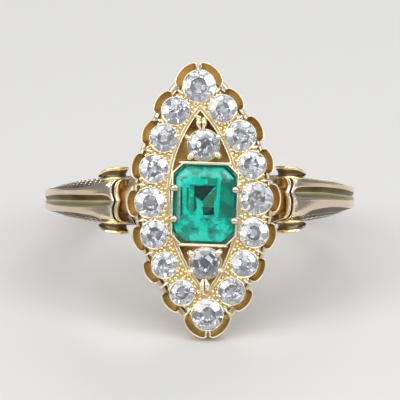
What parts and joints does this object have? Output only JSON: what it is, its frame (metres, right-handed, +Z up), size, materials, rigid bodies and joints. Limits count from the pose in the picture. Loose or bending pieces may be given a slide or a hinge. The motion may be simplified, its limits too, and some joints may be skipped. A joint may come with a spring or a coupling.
{
  "type": "navette ring",
  "caption": "Navette cluster ring: an emerald-cut centre stone and round inner stones in a border of old-cut stones, on a fluted hoop with scroll shoulders.",
  "frame": {"origin": "middle of the bounding box's base, on the surface that the ring rests on", "axes": "+Z up from the surface, -Y towards the viewer, the way the head faces, +X to the viewer's right along the head's short width; the finger's axis leans 22.2 degrees from +Z towards +Y"},
  "size_m": [0.0192, 0.0223, 0.0157],
  "materials": {
    "gold": "polished yellow gold",
    "emerald": "polished step-cut emerald",
    "diamond": "polished old-cut diamond"
  },
  "bodies": {
    "root": {"ring_mount": "gold", "emerald": "emerald", "inner_diamond_upper": "diamond", "inner_diamond_lower": "diamond", "border_diamond_01": "diamond", "border_diamond_02": "diamond", "border_diamond_03": "diamond", "border_diamond_04": "diamond", "border_diamond_05": "diamond", "border_diamond_06": "diamond", "border_diamond_07": "diamond", "border_diamond_08": "diamond", "border_diamond_09": "diamond", "border_diamond_10": "diamond", "border_diamond_11": "diamond", "border_diamond_12": "diamond", "border_diamond_13": "diamond", "border_diamond_14": "diamond", "border_diamond_15": "diamond", "border_diamond_16": "diamond"}
  },
  "joints": []
}
